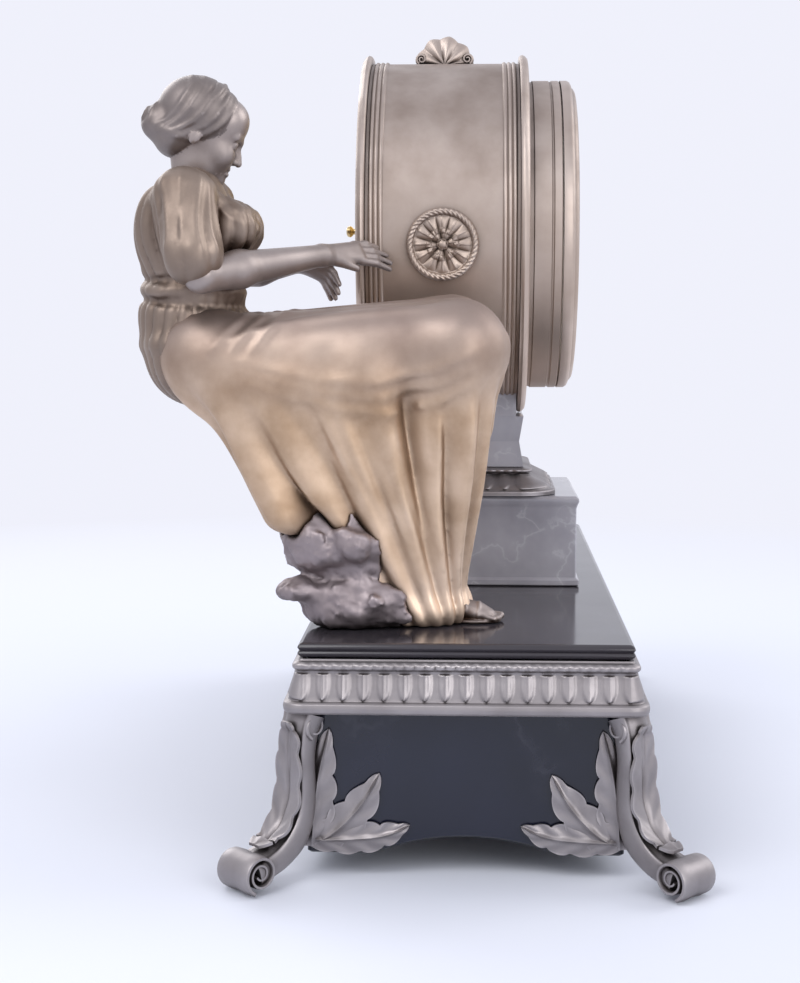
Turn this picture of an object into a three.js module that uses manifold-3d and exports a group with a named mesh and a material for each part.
import * as THREE from 'three';
import { mergeVertices } from 'three/addons/utils/BufferGeometryUtils.js';
import Module from 'manifold-3d';

// Figural mantel clock: a black marble plinth on bronze feet, a drum case on a grey marble
// pedestal, and a seated draped figure whose hands rest on the drum.
// Millimetres. X runs along the plinth, the dial faces -Y, and +Z is up.

// Driving sizes of the base
const PLINTH_LENGTH = 372;
const PLINTH_DEPTH = 132;
const BASE_HEIGHT = 95;
const SLAB_THICKNESS = 6;
const CORNICE_HEIGHT = 21;
const CORNICE_FLARE = 6;
const APRON_LIFT = 9;
const ARCH_RISE = 7;
const WALL = 12;
const FOOT_REACH = 20;
const BOARD_THICKNESS = 5;

// Driving sizes of the pedestal
const STEP_HALF_LENGTH = 46;
const STEP_HALF_DEPTH = 52;
const STEP_HEIGHT = 42;
const MOULDING_HEIGHT = 12;
const NECK_HALF_LENGTH = 34;
const NECK_HALF_DEPTH = 28;
const NECK_RISE = 24.4;
const ROD_RADIUS = 2.5;
const NUT_RADIUS = 6;
const NUT_HEIGHT = 4.5;
const WASHER_RADIUS = 9;
const WASHER_THICKNESS = 1.5;

// Driving sizes of the drum case
const DRUM_RADIUS = 81;
const DRUM_WALL = 2;
const DRUM_FRONT = -27;
const DRUM_REAR = 50;
const FLANGE_LIP = 4;
const FLANGE_THICKNESS = 4;
const COLLAR_INSET = 8;
const COLLAR_WALL = 3;
const COLLAR_LENGTH = 15;
const BEZEL_THICKNESS = 7;
const BEZEL_WIDTH = 13;
const GLASS_THICKNESS = 1.6;
const DIAL_THICKNESS = 1.6;
const DOOR_INSET = 15;
const DOOR_THICKNESS = 1.6;
const ROSETTE_RADIUS = 16;
const ROSETTE_RISE = 6;
const FINIAL_HEIGHT = 14;
const FINIAL_WIDTH = 30;
const FINIAL_THICKNESS = 10;
const LEDGE_WIDTH = 4;
const STRAP_RADIUS = 2;
const HINGE_PIN_RADIUS = 1.2;
const KNUCKLE_RADIUS = 2.6;

// Driving sizes of the movement
const PLATE_RADIUS = 42;
const PLATE_THICKNESS = 2;
const PLATE_SPACING = 26;
const DIAL_TO_PLATE = 7;
const PILLAR_RADIUS = 2.6;
const PLATE_ARM_WIDTH = 9;
const GEAR_MODULE = 1;
const WHEEL_THICKNESS = 1.2;
const ARBOR_RADIUS = 1.1;
const PIVOT_RADIUS = 0.8;
const WINDING_ARBOR_RADIUS = 2.6;
const BARREL_TEETH = 32;
const BARREL_LENGTH = 13;
const BARREL_ANGLE = 25;
const CENTRE_PINION_TEETH = 8;
const CENTRE_WHEEL_TEETH = 30;
const THIRD_PINION_TEETH = 6;
const THIRD_WHEEL_TEETH = 24;
const ESCAPE_PINION_TEETH = 6;
const ESCAPE_TEETH = 20;
const ESCAPE_RADIUS = 9;
const ESCAPE_HEIGHT = 17.5;
const ANCHOR_HEIGHT = 30;
const CANNON_TEETH = 8;
const MINUTE_WHEEL_TEETH = 24;
const MINUTE_PINION_TEETH = 6;
const HOUR_WHEEL_TEETH = 24;
const CANNON_RADIUS = 1.7;
const HOUR_PIPE_RADIUS = 2.8;
const PENDULUM_LENGTH = 90;
const PENDULUM_ROD_RADIUS = 1;
const BOB_RADIUS = 13;
const BOB_THICKNESS = 6;
const BELL_RADIUS = 26;
const BELL_DEPTH = 12;
const BELL_WALL = 1.5;
const HAMMER_HEAD_RADIUS = 3.5;
const MINUTE_HAND_LENGTH = 46;
const HOUR_HAND_LENGTH = 31;
const HAND_THICKNESS = 0.7;
const MINUTE_HUB_RADIUS = 3.6;
const HOUR_HUB_RADIUS = 5;

// Driving sizes of the figure, a seated person at about 2/11 of life size
const FIGURE_INSET = 61;
const SEAT_HEIGHT = 70;
const SEAT_HALF_WIDTH = 42;
const LAP_HEIGHT = 136;
const SKIRT_REACH = 100;
const SKIRT_HALF_WIDTH = 38;
const FOLD_DEPTH = 2.4;
const FOLD_COUNT = 12;
const TORSO_HEIGHT = 80;
const SHOULDER_HALF_WIDTH = 32;
const HEAD_HALF_HEIGHT = 21;
const HEAD_HALF_DEPTH = 17;
const HEAD_HALF_WIDTH = 14.5;
const NECK_RADIUS = 7;
const SHOULDER_RADIUS = 9;
const ELBOW_RADIUS = 6.2;
const WRIST_RADIUS = 4;
const FOOT_RADIUS = 5;

// Facets round the drum's rings
const RING_SIDES = 40;

// Clearances
const GAP = 0.3;
const RUNNING_GAP = 0.1;
const OVERRUN = 5;
const WELD = 1e-4;

// Finishes
const MARBLE = { color: 0x22232b, roughness: 0.18, metalness: 0 };
const GREY_MARBLE = { color: 0x8f8d97, roughness: 0.25, metalness: 0 };
const BRONZE = { color: 0x84796f, roughness: 0.42, metalness: 0.9 };
const GILT = { color: 0xa07b55, roughness: 0.4, metalness: 0.85 };
const SKIN_BRONZE = { color: 0xa68b74, roughness: 0.38, metalness: 0.85 };
const BRASS = { color: 0xc2a35a, roughness: 0.3, metalness: 1 };
const STEEL = { color: 0x8d9094, roughness: 0.3, metalness: 1 };
const ENAMEL = { color: 0xf2efe6, roughness: 0.2, metalness: 0 };
const GLASS = { color: 0xdfe8ea, roughness: 0.05, metalness: 0 };
const WOOD = { color: 0x5a4330, roughness: 0.8, metalness: 0 };

const wasm = await Module();
wasm.setup();

const clock = new THREE.Group();

function addPiece(name, geometry, finish, parent = clock) {
  const mesh = new THREE.Mesh(geometry, new THREE.MeshStandardMaterial(finish));
  mesh.name = name;
  parent.add(mesh);
  return mesh;
}

// Merges shared vertices, drops slivers and turns the faces outwards
function closed(geometry) {
  const bare = new THREE.BufferGeometry();
  const source = geometry.index ? geometry.toNonIndexed() : geometry;
  bare.setAttribute('position', source.getAttribute('position').clone());
  const merged = mergeVertices(bare, WELD);
  const position = merged.getAttribute('position');
  const kept = [];
  const index = merged.index.array;
  const [a, b, c] = [new THREE.Vector3(), new THREE.Vector3(), new THREE.Vector3()];
  let volume = 0;
  for (let i = 0; i < index.length; i += 3) {
    const [p, q, r] = [index[i], index[i + 1], index[i + 2]];
    if (p === q || q === r || r === p) continue;
    kept.push(p, q, r);
    a.fromBufferAttribute(position, p);
    b.fromBufferAttribute(position, q);
    c.fromBufferAttribute(position, r);
    volume += a.dot(b.cross(c));
  }
  merged.setIndex(volume < 0 ? kept.reverse() : kept);
  return merged;
}

function toSolid(geometry) {
  const merged = closed(geometry);
  const mesh = new wasm.Mesh({
    numProp: 3,
    vertProperties: new Float32Array(merged.getAttribute('position').array),
    triVerts: new Uint32Array(merged.index.array),
  });
  return new wasm.Manifold(mesh);
}

function toGeometry(solid) {
  const mesh = solid.getMesh();
  const geometry = new THREE.BufferGeometry();
  geometry.setAttribute('position', new THREE.BufferAttribute(mesh.vertProperties, mesh.numProp));
  geometry.setIndex(new THREE.BufferAttribute(mesh.triVerts, 1));
  geometry.computeVertexNormals();
  return geometry;
}

function joined(...geometries) {
  return toGeometry(geometries.map(toSolid).reduce((sum, next) => sum.add(next)));
}

function cut(geometry, ...cutters) {
  const rest = cutters.map(toSolid).reduce((left, next) => left.subtract(next), toSolid(geometry));
  return toGeometry(rest);
}

// A box given by its lowest and highest corners
function block(low, high) {
  const size = high.map((value, i) => value - low[i]);
  const middle = high.map((value, i) => (value + low[i]) / 2);
  return new THREE.BoxGeometry(...size).translate(...middle);
}

// A rectangular slab, swept from rings of [offset, z] round a half length and half depth
function rectangularSweep(halfLength, halfDepth, profile) {
  const corners = [[1, 1], [-1, 1], [-1, -1], [1, -1]];
  const rings = profile.map(([offset, z]) => corners.map(([sx, sy]) => (
    new THREE.Vector3(sx * (halfLength + offset), sy * (halfDepth + offset), z))));
  return loft(rings);
}

// A closed skin through rings of points, with a cap on each end
function loft(rings) {
  const points = [];
  const addTriangle = (p, q, r) => points.push(p.x, p.y, p.z, q.x, q.y, q.z, r.x, r.y, r.z);
  for (let i = 0; i + 1 < rings.length; i += 1) {
    const [low, high] = [rings[i], rings[i + 1]];
    low.forEach((p, j) => {
      const k = (j + 1) % low.length;
      addTriangle(p, low[k], high[k]);
      addTriangle(p, high[k], high[j]);
    });
  }
  [rings[0], rings[rings.length - 1]].forEach((ring, end) => {
    const middle = ring.reduce((sum, p) => sum.add(p), new THREE.Vector3()).divideScalar(ring.length);
    ring.forEach((p, j) => {
      const next = ring[(j + 1) % ring.length];
      if (end === 0) addTriangle(middle, next, p);
      else addTriangle(middle, p, next);
    });
  });
  const geometry = new THREE.BufferGeometry();
  geometry.setAttribute('position', new THREE.Float32BufferAttribute(points, 3));
  return geometry;
}

// A turned piece about the Y axis, from [radius, y] points
function turned(profile, segments = RING_SIDES) {
  return new THREE.LatheGeometry(profile.map(([r, y]) => new THREE.Vector2(r, y)), segments);
}

function disc(radius, y0, y1, segments = 32) {
  return turned([[0, y0], [radius, y0], [radius, y1], [0, y1]], segments);
}

function ring(inner, outer, y0, y1, segments = RING_SIDES) {
  return turned([[inner, y0], [outer, y0], [outer, y1], [inner, y1], [inner, y0]], segments);
}

// A limb: round sections of changing radius along a smooth curve, with rounded ends
function limb(stations, sides = 12, steps = 14) {
  const curve = new THREE.CatmullRomCurve3(stations.map(([x, y, z]) => new THREE.Vector3(x, y, z)));
  const radii = stations.map((station) => station[3]);
  const rings = [];
  const capSteps = 3;
  const addRing = (centre, tangent, radius) => {
    const side = new THREE.Vector3(0, 0, 1).cross(tangent).normalize();
    if (side.lengthSq() < 0.5) side.set(1, 0, 0);
    const up = tangent.clone().cross(side);
    rings.push(Array.from({ length: sides }, (_, i) => {
      const angle = i * 2 * Math.PI / sides;
      return centre.clone()
        .addScaledVector(side, radius * Math.cos(angle))
        .addScaledVector(up, radius * Math.sin(angle));
    }));
  };
  const radiusAt = (t) => {
    const place = t * (radii.length - 1);
    const i = Math.min(Math.floor(place), radii.length - 2);
    const share = THREE.MathUtils.smoothstep(place - i, 0, 1);
    return radii[i] + (radii[i + 1] - radii[i]) * share;
  };
  for (let i = capSteps; i > 0; i -= 1) {
    const angle = i * Math.PI / 2 / (capSteps + 0.5);
    const tangent = curve.getTangent(0);
    const centre = curve.getPoint(0).addScaledVector(tangent, -radii[0] * Math.sin(angle));
    addRing(centre, tangent, radii[0] * Math.cos(angle));
  }
  for (let i = 0; i <= steps; i += 1) {
    addRing(curve.getPoint(i / steps), curve.getTangent(i / steps), radiusAt(i / steps));
  }
  for (let i = 1; i <= capSteps; i += 1) {
    const angle = i * Math.PI / 2 / (capSteps + 0.5);
    const last = radii[radii.length - 1];
    const tangent = curve.getTangent(1);
    const centre = curve.getPoint(1).addScaledVector(tangent, last * Math.sin(angle));
    addRing(centre, tangent, last * Math.cos(angle));
  }
  return loft(rings);
}

// An egg of three half sizes, tilted about X and placed
function egg(halfX, halfY, halfZ, tilt, place, rows = 12) {
  return new THREE.SphereGeometry(1, 2 * rows, rows)
    .scale(halfX, halfZ, halfY)
    .rotateX(Math.PI / 2 + tilt)
    .translate(...place);
}

// Base: slab, cornice, hollow block, board and four corner feet

const SLAB_BOTTOM = BASE_HEIGHT - SLAB_THICKNESS;
const CORNICE_BOTTOM = SLAB_BOTTOM - GAP - CORNICE_HEIGHT;
const HALF_LENGTH = PLINTH_LENGTH / 2;
const HALF_DEPTH = PLINTH_DEPTH / 2;
const BLOCK_TOP = SLAB_BOTTOM - GAP;
const SLAB_BEVEL = SLAB_THICKNESS / 4;
const FIGURE_X = FIGURE_INSET - HALF_LENGTH;
const FIGURE_ROD_TOP = BASE_HEIGHT + SEAT_HEIGHT * 0.2;
const STEP_TOP = BASE_HEIGHT + GAP + STEP_HEIGHT;
const MOULDING_TOP = STEP_TOP + GAP + MOULDING_HEIGHT;
const DRUM_HEIGHT = MOULDING_TOP + NECK_RISE + FLANGE_LIP + DRUM_RADIUS;

function topSlab() {
  const slab = rectangularSweep(HALF_LENGTH, HALF_DEPTH, [
    [-SLAB_BEVEL, SLAB_BOTTOM],
    [0, SLAB_BOTTOM + SLAB_BEVEL],
    [0, BASE_HEIGHT - SLAB_BEVEL],
    [-SLAB_BEVEL, BASE_HEIGHT],
  ]);
  return cut(slab, rodHole(0), rodHole(FIGURE_X));
}

// Room for a tie rod: the pedestal's runs up to the drum, and the figure's ends in the rock
function rodHole(x) {
  const radius = ROD_RADIUS + GAP;
  const top = x < 0 ? FIGURE_ROD_TOP + GAP : DRUM_HEIGHT;
  return new THREE.CylinderGeometry(radius, radius, top + OVERRUN, 16)
    .rotateX(Math.PI / 2)
    .translate(x, tieRodY(x), (top - OVERRUN) / 2);
}

// The figure is bolted down behind the plinth's middle line, and the pedestal on it
function tieRodY(x) {
  return x < 0 ? HALF_DEPTH * 0.62 : 0;
}

const BLOCK_HALF_LENGTH = HALF_LENGTH - CORNICE_FLARE;
const BLOCK_HALF_DEPTH = HALF_DEPTH - CORNICE_FLARE / 2;

// Flare and height of the cornice's outer face, from its lower edge up
const CORNICE_SHARES = [[0.8, 0], [1, 0.16], [0.72, 0.3], [0.35, 0.62], [0.12, 0.84], [0.1, 1]];

function corniceFrame() {
  const outside = rectangularSweep(HALF_LENGTH, HALF_DEPTH, CORNICE_SHARES.map(([flare, height]) => [
    flare * CORNICE_FLARE,
    CORNICE_BOTTOM + height * CORNICE_HEIGHT,
  ]));
  const [halfLength, halfDepth] = [BLOCK_HALF_LENGTH + GAP, BLOCK_HALF_DEPTH + GAP];
  return cut(outside, block(
    [-halfLength, -halfDepth, CORNICE_BOTTOM - OVERRUN],
    [halfLength, halfDepth, SLAB_BOTTOM + OVERRUN],
  ));
}

function plinthBlock() {
  const outside = rectangularSweep(BLOCK_HALF_LENGTH, BLOCK_HALF_DEPTH, [
    [0, APRON_LIFT],
    [0, BLOCK_TOP],
  ]);
  const cavity = block(
    [WALL - BLOCK_HALF_LENGTH, WALL - BLOCK_HALF_DEPTH, -OVERRUN],
    [BLOCK_HALF_LENGTH - WALL, BLOCK_HALF_DEPTH - WALL, BLOCK_TOP - WALL],
  );
  return cut(
    outside,
    cavity,
    archCutter(BLOCK_HALF_DEPTH * 1.2, BLOCK_HALF_LENGTH).rotateZ(Math.PI / 2),
    archCutter(BLOCK_HALF_LENGTH * 1.5, BLOCK_HALF_DEPTH),
    rodHole(0),
    rodHole(FIGURE_X),
  );
}

// A shallow arch under the apron, running right through along Y
function archCutter(span, halfDepth) {
  const shape = new THREE.Shape();
  shape.moveTo(-span / 2, -OVERRUN);
  shape.lineTo(-span / 2, APRON_LIFT);
  shape.quadraticCurveTo(0, APRON_LIFT + 2 * ARCH_RISE, span / 2, APRON_LIFT);
  shape.lineTo(span / 2, -OVERRUN);
  const depth = 2 * halfDepth + 2 * OVERRUN;
  return new THREE.ExtrudeGeometry(shape, { depth, bevelEnabled: false, curveSegments: 12 })
    .rotateX(Math.PI / 2)
    .translate(0, depth / 2, 0);
}

function baseBoard() {
  const inset = WALL + GAP;
  return cut(
    block(
      [inset - BLOCK_HALF_LENGTH, inset - BLOCK_HALF_DEPTH, BLOCK_TOP - WALL - GAP - BOARD_THICKNESS],
      [BLOCK_HALF_LENGTH - inset, BLOCK_HALF_DEPTH - inset, BLOCK_TOP - WALL - GAP],
    ),
    rodHole(0),
    rodHole(FIGURE_X),
  );
}

const BOARD_BOTTOM = BLOCK_TOP - WALL - GAP - BOARD_THICKNESS;
const FOOT_THICKNESS = 15;
const FOOT_SCROLL_RADIUS = 8.5;
const LEAF_LENGTH = 42;
const LEAF_THICKNESS = 4;
const LEAF_LIFT = APRON_LIFT + LEAF_THICKNESS;
const LEAF_HEIGHT = (CORNICE_BOTTOM - LEAF_LIFT) * 0.95;

// The foot's console profile, drawn in the diagonal plane: u outwards from the block's corner, z up
function consoleOutline() {
  const top = CORNICE_BOTTOM - GAP;
  const shape = new THREE.Shape();
  const reach = FOOT_REACH;
  shape.moveTo(-reach, top);
  shape.lineTo(reach * 0.42, top);
  shape.bezierCurveTo(reach * 0.75, top * 0.86, reach * 0.5, top * 0.7, reach * 0.5, top * 0.5);
  shape.bezierCurveTo(reach * 0.5, top * 0.3, reach * 1.05, top * 0.26, reach * 1.55, top * 0.2);
  shape.lineTo(reach * 1.55, 0);
  shape.lineTo(reach * 0.75, 0);
  shape.bezierCurveTo(reach * 0.5, top * 0.1, 0, top * 0.1, -reach, top * 0.12);
  return shape;
}

function leafOnFace() {
  const shape = new THREE.Shape();
  const [length, width] = [LEAF_LENGTH, LEAF_HEIGHT / 2];
  shape.moveTo(0, 0);
  shape.bezierCurveTo(length * 0.2, -width * 0.2, length * 0.7, -width * 0.1, length, width * 0.12);
  shape.bezierCurveTo(length * 0.8, width * 0.35, length * 0.7, width * 0.5, length * 0.6, width * 0.55);
  shape.bezierCurveTo(length * 0.5, width * 0.85, length * 0.3, width * 0.9, length * 0.22, width * 1.1);
  shape.bezierCurveTo(length * 0.16, width * 1.5, length * 0.1, width * 1.8, 0, width * 2);
  const options = {
    depth: LEAF_THICKNESS / 2,
    bevelThickness: LEAF_THICKNESS / 4,
    bevelSize: LEAF_THICKNESS / 3,
    bevelSegments: 1,
    curveSegments: 4,
  };
  return new THREE.ExtrudeGeometry(shape, options);
}

// One bronze corner mount at the +X +Y corner: console, scroll foot and a leaf on each face
function cornerFoot() {
  const consolePart = new THREE.ExtrudeGeometry(consoleOutline(), {
    depth: FOOT_THICKNESS, bevelEnabled: false, curveSegments: 5,
  })
    .translate(0, 0, -FOOT_THICKNESS / 2)
    .rotateX(Math.PI / 2)
    .rotateZ(Math.PI / 4)
    .translate(BLOCK_HALF_LENGTH, BLOCK_HALF_DEPTH, 0);
  const scrollLength = FOOT_THICKNESS * 1.3;
  const scroll = new THREE.CylinderGeometry(FOOT_SCROLL_RADIUS, FOOT_SCROLL_RADIUS, scrollLength, 16)
    .translate(FOOT_REACH * 1.5, 0, FOOT_SCROLL_RADIUS)
    .rotateZ(Math.PI / 4)
    .translate(BLOCK_HALF_LENGTH, BLOCK_HALF_DEPTH, 0);
  const endLeaf = leafOnFace()
    .rotateX(Math.PI / 2)
    .rotateZ(-Math.PI / 2)
    .translate(BLOCK_HALF_LENGTH + LEAF_THICKNESS / 2, BLOCK_HALF_DEPTH, LEAF_LIFT);
  const sideLeaf = leafOnFace()
    .scale(-1, 1, 1)
    .rotateX(Math.PI / 2)
    .translate(BLOCK_HALF_LENGTH, BLOCK_HALF_DEPTH + LEAF_THICKNESS, LEAF_LIFT);
  const mount = joined(consolePart, scroll, endLeaf, sideLeaf);
  const blockRoom = block(
    [-BLOCK_HALF_LENGTH - GAP, -BLOCK_HALF_DEPTH - GAP, -OVERRUN],
    [BLOCK_HALF_LENGTH + GAP, BLOCK_HALF_DEPTH + GAP, BASE_HEIGHT],
  );
  const floorCut = block(
    [0, 0, -BASE_HEIGHT],
    [2 * PLINTH_LENGTH, 2 * PLINTH_LENGTH, 0],
  );
  return cut(mount, blockRoom, floorCut);
}

addPiece('top_slab', topSlab(), MARBLE);
addPiece('cornice_frame', corniceFrame(), BRONZE);
addPiece('plinth_block', plinthBlock(), MARBLE);
addPiece('base_board', baseBoard(), WOOD);

[['rear_right', 1, 1], ['rear_left', -1, 1], ['front_left', -1, -1], ['front_right', 1, -1]]
  .forEach(([corner, sx, sy]) => {
    addPiece(`corner_foot_${corner}`, closed(cornerFoot().scale(sx, sy, 1)), BRONZE);
  });

// Pedestal: grey marble step, bronze moulding, grey marble neck hollowed to cradle the drum

const STEP_BEVEL = 2;

function pedestalStep() {
  return cut(rectangularSweep(STEP_HALF_LENGTH, STEP_HALF_DEPTH, [
    [0, BASE_HEIGHT + GAP],
    [0, STEP_TOP - STEP_BEVEL],
    [-STEP_BEVEL, STEP_TOP],
  ]), rodHole(0));
}

function pedestalMoulding() {
  const overhangShares = [1, 0.9, 0.4, 0.1, 0];
  const heightShares = [0, 0.25, 0.5, 0.8, 1];
  const overhang = STEP_HALF_DEPTH - NECK_HALF_DEPTH - STEP_BEVEL;
  const profile = heightShares.map((share, i) => [
    overhangShares[i] * overhang * 0.6,
    STEP_TOP + GAP + share * MOULDING_HEIGHT,
  ]);
  return cut(rectangularSweep(NECK_HALF_LENGTH, NECK_HALF_DEPTH, profile), rodHole(0));
}

// Everything inside the drum's outer skin, with room round it
function drumRoom(extra) {
  const radius = DRUM_RADIUS + extra;
  return disc(radius, DRUM_FRONT - OVERRUN * 2, DRUM_REAR + OVERRUN * 2, RING_SIDES)
    .translate(0, 0, DRUM_HEIGHT);
}

const NECK_REAR = DRUM_REAR - FLANGE_THICKNESS - 2 * GAP;
const NECK_FRONT = DRUM_FRONT + FLANGE_THICKNESS + 2 * GAP;

function pedestalNeck() {
  const neck = rectangularSweep(NECK_HALF_LENGTH - STEP_BEVEL, NECK_HALF_DEPTH - STEP_BEVEL, [
    [0, MOULDING_TOP + GAP],
    [-STEP_BEVEL, MOULDING_TOP + NECK_RISE / 2],
    [0, MOULDING_TOP + NECK_RISE],
    [0, DRUM_HEIGHT - DRUM_RADIUS / 2],
  ]);
  const reach = block(
    [-NECK_HALF_LENGTH, NECK_FRONT - OVERRUN * 4, 0],
    [NECK_HALF_LENGTH, NECK_REAR + OVERRUN * 4, 2 * DRUM_HEIGHT],
  );
  const waist = toGeometry(toSolid(neck).intersect(toSolid(reach)));
  const frontEnd = block(
    [-2 * NECK_HALF_LENGTH, DRUM_FRONT - OVERRUN, DRUM_HEIGHT - DRUM_RADIUS - FLANGE_LIP - GAP],
    [2 * NECK_HALF_LENGTH, NECK_FRONT, DRUM_HEIGHT],
  );
  return cut(waist, drumRoom(GAP), frontEnd, rodHole(0));
}

addPiece('pedestal_step', pedestalStep(), GREY_MARBLE);
addPiece('pedestal_moulding', pedestalMoulding(), BRONZE);
addPiece('pedestal_neck', pedestalNeck(), GREY_MARBLE);

// Tie rods, each with a washer and a nut under the base board

const PEDESTAL_ROD_TOP = DRUM_HEIGHT - DRUM_RADIUS - GAP - GAP;
function tieRod(x, top) {
  const low = BOARD_BOTTOM - WASHER_THICKNESS - NUT_HEIGHT - NUT_HEIGHT;
  return new THREE.CylinderGeometry(ROD_RADIUS, ROD_RADIUS, top - low, 16)
    .rotateX(Math.PI / 2)
    .translate(x, tieRodY(x), (top + low) / 2);
}

function tieNut(x) {
  const washer = new THREE.CylinderGeometry(WASHER_RADIUS, WASHER_RADIUS, WASHER_THICKNESS, 24);
  const nut = new THREE.CylinderGeometry(NUT_RADIUS, NUT_RADIUS, NUT_HEIGHT + WASHER_THICKNESS, 6);
  const both = joined(
    washer.rotateX(Math.PI / 2).translate(0, 0, -WASHER_THICKNESS / 2),
    nut.rotateX(Math.PI / 2).translate(0, 0, -(NUT_HEIGHT + WASHER_THICKNESS) / 2),
  ).translate(x, tieRodY(x), BOARD_BOTTOM - GAP);
  return cut(both, rodHole(x));
}

addPiece('pedestal_rod', tieRod(0, PEDESTAL_ROD_TOP), STEEL);
addPiece('pedestal_nut', tieNut(0), STEEL);
addPiece('figure_rod', tieRod(FIGURE_X, FIGURE_ROD_TOP), STEEL);
addPiece('figure_nut', tieNut(FIGURE_X), STEEL);

// Seated figure: rock seat, skirt with its main folds, torso, head, two arms and a foot

// One horizontal section of the skirt or the rock, widened all round by extra
function waySection(sides, z, front, back, halfWidth, middleX, extra, fold) {
  const [middleY, halfDepth] = [(front + back) / 2, (back - front) / 2];
  return Array.from({ length: sides }, (_, i) => {
    const angle = i * 2 * Math.PI / sides;
    const swell = fold(angle);
    return new THREE.Vector3(
      middleX + (halfWidth + extra + swell) * Math.cos(angle),
      middleY + (halfDepth + extra + swell) * Math.sin(angle),
      z,
    );
  });
}

const SKIRT_SIDES = 44;
const ROCK_SIDES = 20;
const SKIRT_BOTTOM = BASE_HEIGHT + GAP;

// Height, front, back and half width of the cloth at each level: from the knees to the hem,
// then behind, from the hips down over the rock
const SKIRT_SHARES = [
  [0, 0, 0.3, 0.68],
  [0.05, -0.02, 0.33, 0.72],
  [0.12, 0, 0.36, 0.76],
  [0.33, 0, 0.56, 0.9],
  [0.5, 0.01, 0.76, 0.98],
  [0.62, 0.02, 0.95, 1],
  [0.7, 0.04, 1.08, 0.98],
  [0.79, 0.07, 1.2, 0.93],
  [0.87, 0.12, 1.18, 0.86],
  [0.93, 0.24, 1.04, 0.66],
];
const REAR_SHARES = [
  [0.3, 0.5, 0.84, 0.96],
  [0.42, 0.5, 0.9, 1],
  [0.56, 0.5, 0.97, 1],
  [0.68, 0.5, 1.08, 0.97],
  [0.78, 0.5, 1.16, 0.9],
];

// Across, forward, height and radius of what the cloth is drawn over, from end to end
const THIGH_SHARES = [
  [0.44, 1.05, 0.775, 0.56],
  [0.46, 0.56, 0.81, 0.53],
  [0.48, 0.05, 0.855, 0.49],
];
const SHIN_SHARES = [
  [0.48, 0.05, 0.84, 0.48],
  [0.41, 0.09, 0.47, 0.39],
  [0.32, 0.14, 0.12, 0.28],
];

function underCloth(shares, side, extra, sides) {
  return limb(shares.map(([across, forward, height, radius]) => [
    FIGURE_X + side * across * SKIRT_HALF_WIDTH,
    forward * SKIRT_REACH,
    SKIRT_BOTTOM + height * LAP_HEIGHT,
    radius * SKIRT_HALF_WIDTH + extra,
  ]), sides, 6);
}

function fallingCloth(shares, extra) {
  return loft(shares.map(([height, front, back, half], level) => {
    const depth = FOLD_DEPTH * Math.min(1, 2.2 * (1 - height));
    const end = level === 0 ? -extra : level === shares.length - 1 ? extra : 0;
    return waySection(
      SKIRT_SIDES,
      SKIRT_BOTTOM + height * LAP_HEIGHT + end,
      front * SKIRT_REACH,
      back * SKIRT_REACH,
      half * SKIRT_HALF_WIDTH,
      FIGURE_X,
      extra,
      (angle) => depth * Math.cos(FOLD_COUNT * angle + 3 * height),
    );
  }));
}

function skirt(extra) {
  const limbs = [-1, 1].flatMap((side) => [
    underCloth(THIGH_SHARES, side, extra, 18),
    underCloth(SHIN_SHARES, side, extra, 14),
  ]);
  return joined(fallingCloth(SKIRT_SHARES, extra), fallingCloth(REAR_SHARES, extra), ...limbs);
}

const ROCK_SHARES = [
  [0, 0.1, 0.64, 1],
  [0.24, 0.12, 0.74, 1.02],
  [0.5, 0.2, 0.82, 0.98],
  [0.66, 0.24, 0.8, 0.86],
  [0.78, 0.3, 0.76, 0.7],
];

function rockSeat() {
  const rock = loft(ROCK_SHARES.map(([height, front, back, half]) => waySection(
    ROCK_SIDES,
    SKIRT_BOTTOM + height * SEAT_HEIGHT,
    front * SKIRT_REACH,
    back * SKIRT_REACH,
    half * SEAT_HALF_WIDTH,
    FIGURE_X,
    0,
    (angle) => FOLD_DEPTH * 0.5 * Math.sin(5 * angle + 4 * height),
  )));
  const clearOfSkirt = toSolid(rock).subtract(toSolid(skirt(GAP + RUNNING_GAP)));
  const pieces = clearOfSkirt.decompose().sort((a, b) => b.volume() - a.volume());
  return cut(toGeometry(pieces[0]), rodHole(FIGURE_X));
}

// Forward place, height, half width and half depth of the torso's sections, from hips to neck
const TORSO_SHARES = [
  [0.97, 0, 0.9, 0.3],
  [1.05, 0.14, 0.84, 0.28],
  [1.12, 0.34, 0.68, 0.24],
  [1.17, 0.54, 0.78, 0.27],
  [1.16, 0.74, 0.94, 0.29],
  [1.14, 0.88, 1.02, 0.23],
  [1.12, 0.96, 0.7, 0.16],
  [1.11, 1, 0.3, 0.1],
];
const TORSO_BOTTOM = BASE_HEIGHT + LAP_HEIGHT * 0.8;

function torso(extra) {
  const places = TORSO_SHARES.map(([y, z]) => new THREE.Vector2(
    y * SKIRT_REACH,
    TORSO_BOTTOM + z * TORSO_HEIGHT,
  ));
  const sides = 24;
  return loft(TORSO_SHARES.map(([, , half, depth], level) => {
    const before = places[Math.max(level - 1, 0)];
    const after = places[Math.min(level + 1, places.length - 1)];
    const along = after.clone().sub(before).normalize();
    return Array.from({ length: sides }, (_, i) => {
      const angle = i * 2 * Math.PI / sides;
      const reach = (depth * 0.8 * SKIRT_REACH + extra) * Math.sin(angle);
      return new THREE.Vector3(
        FIGURE_X + (half * SHOULDER_HALF_WIDTH + extra) * Math.cos(angle),
        places[level].x + reach * along.y,
        places[level].y - reach * along.x,
      );
    });
  }));
}

const HEAD_MIDDLE = [FIGURE_X, SKIRT_REACH * 1.1, TORSO_BOTTOM + TORSO_HEIGHT * 1.2];
const HEAD_TILT = -0.35;

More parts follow.
